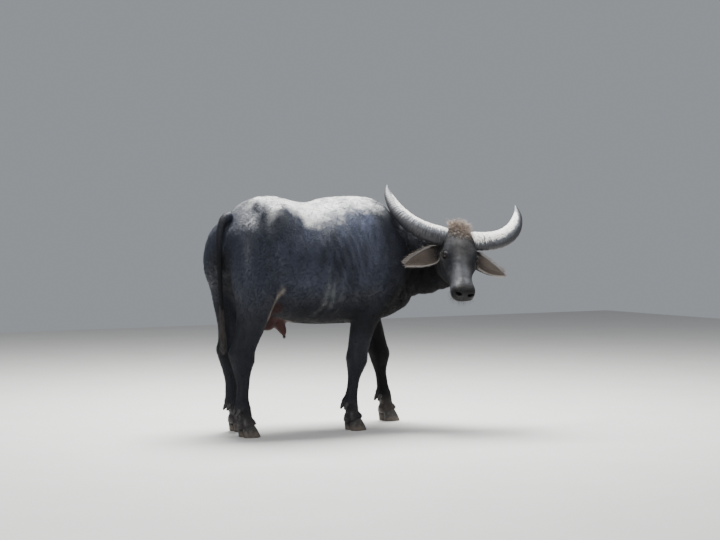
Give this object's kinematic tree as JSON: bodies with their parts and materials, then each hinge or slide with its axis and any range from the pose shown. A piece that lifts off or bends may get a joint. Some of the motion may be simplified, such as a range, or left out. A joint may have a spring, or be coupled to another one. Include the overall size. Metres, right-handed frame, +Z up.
{
  "type": "water buffalo",
  "caption": "Life-size still model of a swamp water buffalo bull, standing on all fours with its swept horns and its head turned back past the shoulder",
  "frame": {"origin": "middle of the bounding box, on the ground under the claws", "axes": "+X forward along the back, +Y to the animal's left, +Z up"},
  "size_m": [1.8968, 1.031, 1.406],
  "materials": {
    "hide": "dark slate hide with a thin coat, damp",
    "groin_skin": "bare reddish brown skin",
    "hair": "coarse dark hair",
    "horn": "ridged grey horn, worn",
    "claw": "dark horn of the hooves",
    "eye": "wet dark brown"
  },
  "bodies": {
    "root": {"horn_right": "horn", "ear_right": "hide", "eye_right": "eye", "horn_left": "horn", "ear_left": "hide", "eye_left": "eye", "claw_foreleg_right_outer": "claw", "dewclaw_foreleg_right_outer": "claw", "claw_foreleg_right_inner": "claw", "dewclaw_foreleg_right_inner": "claw", "foreleg_right": "hide", "claw_foreleg_left_outer": "claw", "dewclaw_foreleg_left_outer": "claw", "claw_foreleg_left_inner": "claw", "dewclaw_foreleg_left_inner": "claw", "foreleg_left": "hide", "claw_hindleg_right_outer": "claw", "dewclaw_hindleg_right_outer": "claw", "claw_hindleg_right_inner": "claw", "dewclaw_hindleg_right_inner": "claw", "hindleg_right": "hide", "claw_hindleg_left_outer": "claw", "dewclaw_hindleg_left_outer": "claw", "claw_hindleg_left_inner": "claw", "dewclaw_hindleg_left_inner": "claw", "hindleg_left": "hide", "torso": "hide", "neck": "hide", "head": "hide", "tail": "hide", "tail_switch": "hair", "scrotum": "groin_skin", "sheath": "groin_skin"}
  },
  "joints": []
}
